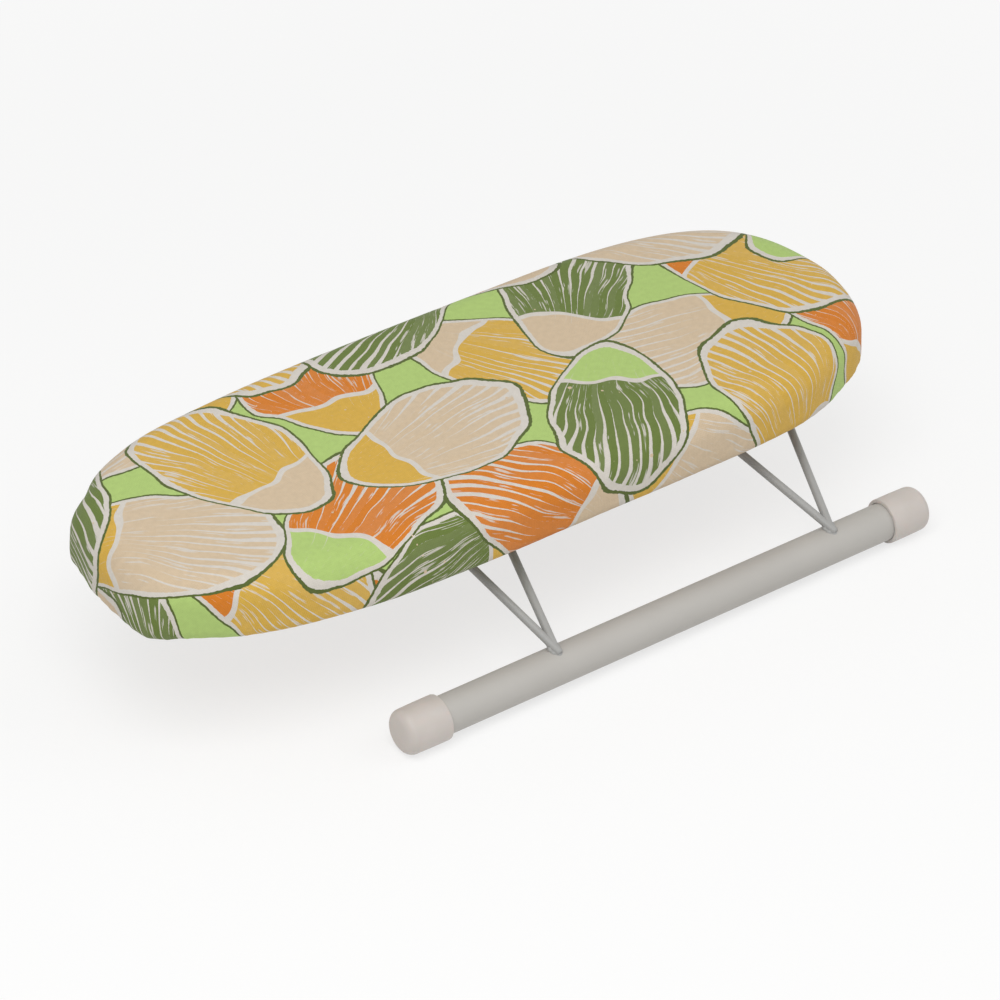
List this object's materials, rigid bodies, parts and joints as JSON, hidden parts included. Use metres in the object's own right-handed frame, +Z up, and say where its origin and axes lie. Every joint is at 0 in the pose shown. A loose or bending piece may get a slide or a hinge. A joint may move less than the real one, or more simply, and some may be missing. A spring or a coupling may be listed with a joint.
{
  "type": "tabletop ironing board",
  "caption": "Small padded tabletop ironing board: fitted cloth cover over a foam pad and wooden core, on folding legs of bent wire and capped steel tube.",
  "frame": {"origin": "on the table, under the middle of the covered board", "axes": "+X along the board towards its back end, -X towards the overhanging sleeve end, +Y to the rear, +Z up"},
  "size_m": [0.446, 0.236, 0.1054],
  "materials": {
    "board": "pressed fibreboard, raw",
    "foam": "open-cell foam",
    "cloth": "printed plain-weave cotton",
    "elastic": "braided elastic cord",
    "coated_steel": "grey powder coat, satin",
    "zinc_steel": "zinc plated",
    "plastic": "moulded, off-white"
  },
  "bodies": {
    "board": {"board_core": "board", "foam_pad": "foam", "printed_cover": "cloth", "hem_elastic": "elastic", "hinge_lug_left_outer": "zinc_steel", "hinge_lug_left_inner": "zinc_steel", "hinge_lug_right_inner": "zinc_steel", "hinge_lug_right_outer": "zinc_steel", "screw_left_outer_front": "zinc_steel", "screw_left_outer_rear": "zinc_steel", "screw_left_inner_front": "zinc_steel", "screw_left_inner_rear": "zinc_steel", "screw_right_inner_front": "zinc_steel", "screw_right_inner_rear": "zinc_steel", "screw_right_outer_front": "zinc_steel", "screw_right_outer_rear": "zinc_steel"},
    "front_leg": {"front_foot_tube": "coated_steel", "front_cap_left": "plastic", "front_cap_right": "plastic", "front_wire_narrow": "coated_steel", "front_wire_wide": "coated_steel"},
    "rear_leg": {"rear_foot_tube": "coated_steel", "rear_cap_left": "plastic", "rear_cap_right": "plastic", "rear_wire_narrow": "coated_steel", "rear_wire_wide": "coated_steel"}
  },
  "joints": [
    {"name": "front_leg_fold", "type": "hinge", "parent": "board", "child": "front_leg", "pos_m": [0, -0.008, 0.0658], "axis": [-1, 0, 0], "range_deg": [0, 19.4]},
    {"name": "rear_leg_fold", "type": "hinge", "parent": "board", "child": "rear_leg", "pos_m": [0, 0.008, 0.0658], "axis": [1, 0, 0], "range_deg": [0, 19.4]}
  ]
}
